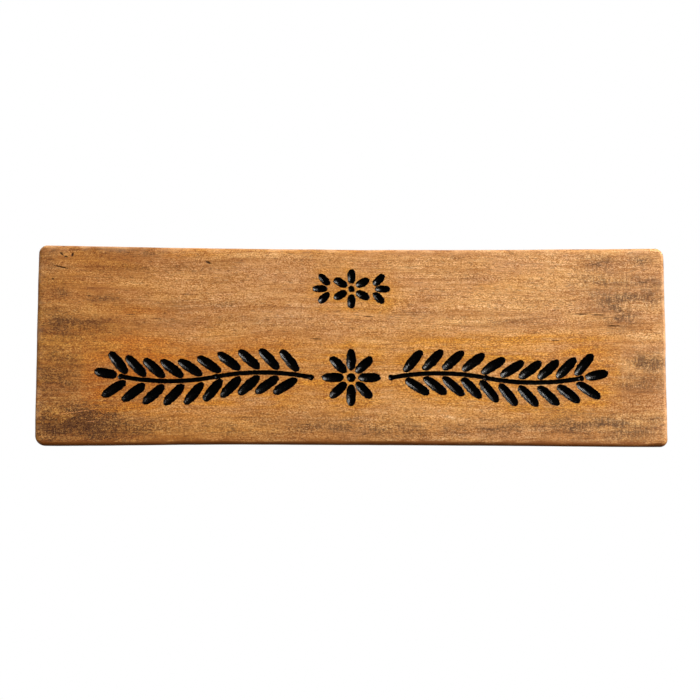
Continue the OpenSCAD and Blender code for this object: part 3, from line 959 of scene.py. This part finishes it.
def zinc_steel(name, seed, rolling=(0.5, 0.5, 0.5)):
    """Galvanised steel. rolling is the size of its finest marks, in millimetres."""
    m = Mat(name)
    spangle = m.noise((2.2, 2.2, 2.2), 3, 0.6, seed)
    rolled = m.noise(rolling, 3, 0.6, seed + 1)
    stain = m.noise((3.6, 3.6, 3.0), 4, 0.7, seed + 2)
    base = m.mix(m.step(spangle, 0.35, 0.65), (132, 135, 139), (168, 169, 169))
    base = m.mix(m.step(stain, 0.58, 0.75, 0.0, 0.5), base, (108, 100, 90))
    rough = m.math("ADD", m.step(rolled, 0.3, 0.7, 0.26, 0.4), m.step(stain, 0.55, 0.8, 0.0, 0.2))
    return m.set(Base_Color=base, Metallic=1.0, Roughness=rough, Normal=m.bump(rolled, 0.02, 0.6))


def rubber():
    m = Mat("black_rubber")
    tone = m.noise((2.5, 2.5, 2.5), 3, 0.6, 41)
    dust = m.noise((0.6, 0.6, 0.6), 3, 0.7, 42)
    base = m.mix(m.step(tone, 0.3, 0.7), (30, 30, 31), (42, 41, 41))
    base = m.mix(m.step(dust, 0.6, 0.8, 0.0, 0.35), base, (96, 90, 84))
    rough = m.step(dust, 0.3, 0.8, 0.55, 0.8)
    return m.set(Base_Color=base, Roughness=rough, Specular_IOR_Level=0.4, Normal=m.bump(dust, 0.03, 0.7))


def adhesive():
    m = Mat("adhesive_film")
    tone = m.noise((1.5, 0.3, 1.5), 3, 0.6, 51)
    base = m.mix(m.step(tone, 0.3, 0.7), (196, 186, 158), (222, 214, 192))
    rough = m.step(tone, 0.3, 0.7, 0.35, 0.55)
    return m.set(Base_Color=base, Roughness=rough, Normal=m.bump(tone, 0.04, 0.6))


def dress(obj, material):
    obj.data.materials.clear()
    obj.data.materials.append(material)


def place(piece, material, node_name):
    """Dresses a piece, fixes it to the one body and lets it stand in for its CAD node."""
    dress(piece, material)
    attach(piece, "root")
    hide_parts(node_name)


WOOD, ENAMEL, RUBBER, GLUE = stained_wood(), black_enamel(), rubber(), adhesive()
STRIP, BRAD = zinc_steel("zinc_strip", 31, rolling=(9, 0.5, 0.16)), zinc_steel("zinc_brad", 35)

place(board, WOOD, "board")
for name, piece in paint.items():
    place(piece, ENAMEL, name)
for name, piece in bumpers.items():
    place(piece, RUBBER, name)

# The hanger, its brads and the adhesive stay as they are drawn; the steel gets its sharp edges taken off.
for name, node in nodes.items():
    if name.endswith("adhesive"):
        dress(node, GLUE)
    elif name.endswith("nail") or name == "sawtooth_hanger":
        dress(node, STRIP if name == "sawtooth_hanger" else BRAD)
        round_off = node.modifiers.new("soft_edges", "BEVEL")
        round_off.width = 0.12 * MM
        round_off.segments = 2
        round_off.limit_method = "ANGLE"
        round_off.angle_limit = math.radians(40)


# ---------------------------------------------------------------- floor, light and camera

FLOOR_DROP = 900  # how far the floor lies under the plaque, in millimetres
FLOOR_RINGS = (0, 300, 700, 1200, 1700, 2300, 2900, 3400)
FLOOR_SIDES = 96


def studio_floor():
    """A pale floor, well below the plaque, that runs out into the white of the studio."""
    z, n = LO[2] - FLOOR_DROP, FLOOR_SIDES
    angles = [i / n * 2 * math.pi for i in range(n)]
    points = [(r * math.cos(a), r * math.sin(a), z) for r in FLOOR_RINGS for a in angles]
    faces = [
        (k * n + i, k * n + (i + 1) % n, (k + 1) * n + (i + 1) % n, (k + 1) * n + i)
        for k in range(len(FLOOR_RINGS) - 1) for i in range(n)
    ]
    obj = weld(new_mesh("studio_floor", points, faces))
    m = Mat("pale_floor")
    tone = m.noise((400, 400, 400), 3, 0.5, 61)
    out_from_middle = m.vec("LENGTH", m.vec("MULTIPLY", m.mm, (1, 1, 0)))
    obj.data.materials.append(m.set(
        Base_Color=m.mix(tone, (236, 236, 235), (246, 246, 245)), Roughness=0.95, Specular_IOR_Level=0.1,
        Emission_Color=(1, 1, 1, 1), Emission_Strength=m.step(out_from_middle, 200, 2600, 0.55, 1.0),
    ))
    obj.visible_glossy = obj.visible_diffuse = False


studio_floor()

middle = Vector((MID_X, FRONT, MID_Z)) * MM


def softbox(name, direction, distance, width, height, power, tint=(255, 255, 255)):
    """A rectangular light that faces the middle of the front."""
    light = bpy.data.lights.new(name, "AREA")
    light.shape, light.size, light.size_y = "RECTANGLE", width, height
    light.energy = power
    light.color = colour(tint)[:3]
    lamp = bpy.data.objects.new(name, light)
    at = middle + Vector(direction).normalized() * distance
    lamp.location = at
    lamp.rotation_euler = (middle - at).to_track_quat("-Z", "Y").to_euler()
    bpy.context.scene.collection.objects.link(lamp)
    return lamp


softbox("key_right_above", (0.95, -0.42, 0.5), 1.3, 0.5, 0.5, 24, (255, 252, 248))
fills = [
    softbox("fill_front", (-0.35, -1.0, 0.45), 1.8, 1.0, 0.8, 11),
    softbox("top", (0.05, -0.4, 1.0), 1.4, 1.2, 0.6, 3),
]
for lamp in fills:
    lamp.visible_glossy = False
softbox("back", (-0.3, 1.0, 0.5), 2.0, 2.6, 2.0, 19)


def studio_world():
    """White as seen by the camera, softly lit from above, and dark in reflections except from behind."""
    world = bpy.data.worlds.new("studio")
    world.use_nodes = True
    tree = world.node_tree
    tree.nodes.clear()
    link = tree.links.new
    path = tree.nodes.new("ShaderNodeLightPath")
    levels = {}
    for label in ("seen", "ambient", "mirrored"):
        levels[label] = tree.nodes.new("ShaderNodeBackground")
        levels[label].inputs["Strength"].default_value = 1.0
        levels[label].inputs["Color"].default_value = (1, 1, 1, 1)
    soft, choose = tree.nodes.new("ShaderNodeMixShader"), tree.nodes.new("ShaderNodeMixShader")
    out = tree.nodes.new("ShaderNodeOutputWorld")
    aloft = tree.nodes.new("ShaderNodeSeparateXYZ")
    link(tree.nodes.new("ShaderNodeTexCoord").outputs["Generated"], aloft.inputs[0])
    # The ambient light grows upwards (axis 2) and the mirrored one to the rear (axis 1): from, to, and the
    # strengths there.
    ranges = ("ambient", 2, (-0.5, 0.6, 0.06, 0.55)), ("mirrored", 1, (0.05, 0.7, 0.018, 0.8))
    for label, axis, ends in ranges:
        fall = tree.nodes.new("ShaderNodeMapRange")
        for k, value in enumerate(ends):
            fall.inputs[k + 1].default_value = value
        link(aloft.outputs[axis], fall.inputs[0])
        link(fall.outputs[0], levels[label].inputs["Strength"])
    link(path.outputs["Is Glossy Ray"], soft.inputs[0])
    link(levels["ambient"].outputs[0], soft.inputs[1])
    link(levels["mirrored"].outputs[0], soft.inputs[2])
    link(path.outputs["Is Camera Ray"], choose.inputs[0])
    link(soft.outputs[0], choose.inputs[1])
    link(levels["seen"].outputs[0], choose.inputs[2])
    link(choose.outputs[0], out.inputs[0])
    return world


bpy.context.scene.world = studio_world()
bpy.context.scene.view_settings.view_transform = "Standard"
bpy.context.scene.view_settings.look = "None"

CAMERA_REACH = 0.55  # metres from the middle of the front
CAMERA_BELOW = math.radians(5)
CAMERA_ROLL = math.radians(0.2)

camera = bpy.data.objects.new("camera", bpy.data.cameras.new("camera"))
bpy.context.scene.collection.objects.link(camera)
bpy.context.scene.camera = camera
camera.data.sensor_width = 36
camera.data.lens = 59.6
camera.data.dof.use_dof = False
camera.data.clip_start, camera.data.clip_end = 0.01, 50
camera.location = middle + Vector((0, -math.cos(CAMERA_BELOW), -math.sin(CAMERA_BELOW))) * CAMERA_REACH
# The plaque sits a little high in the frame.
aim_at = middle + Vector((-0.0006, 0, -0.0025))
aim = (aim_at - camera.location).to_track_quat("-Z", "Y") @ Quaternion((0, 0, 1), CAMERA_ROLL)
camera.rotation_euler = aim.to_euler()
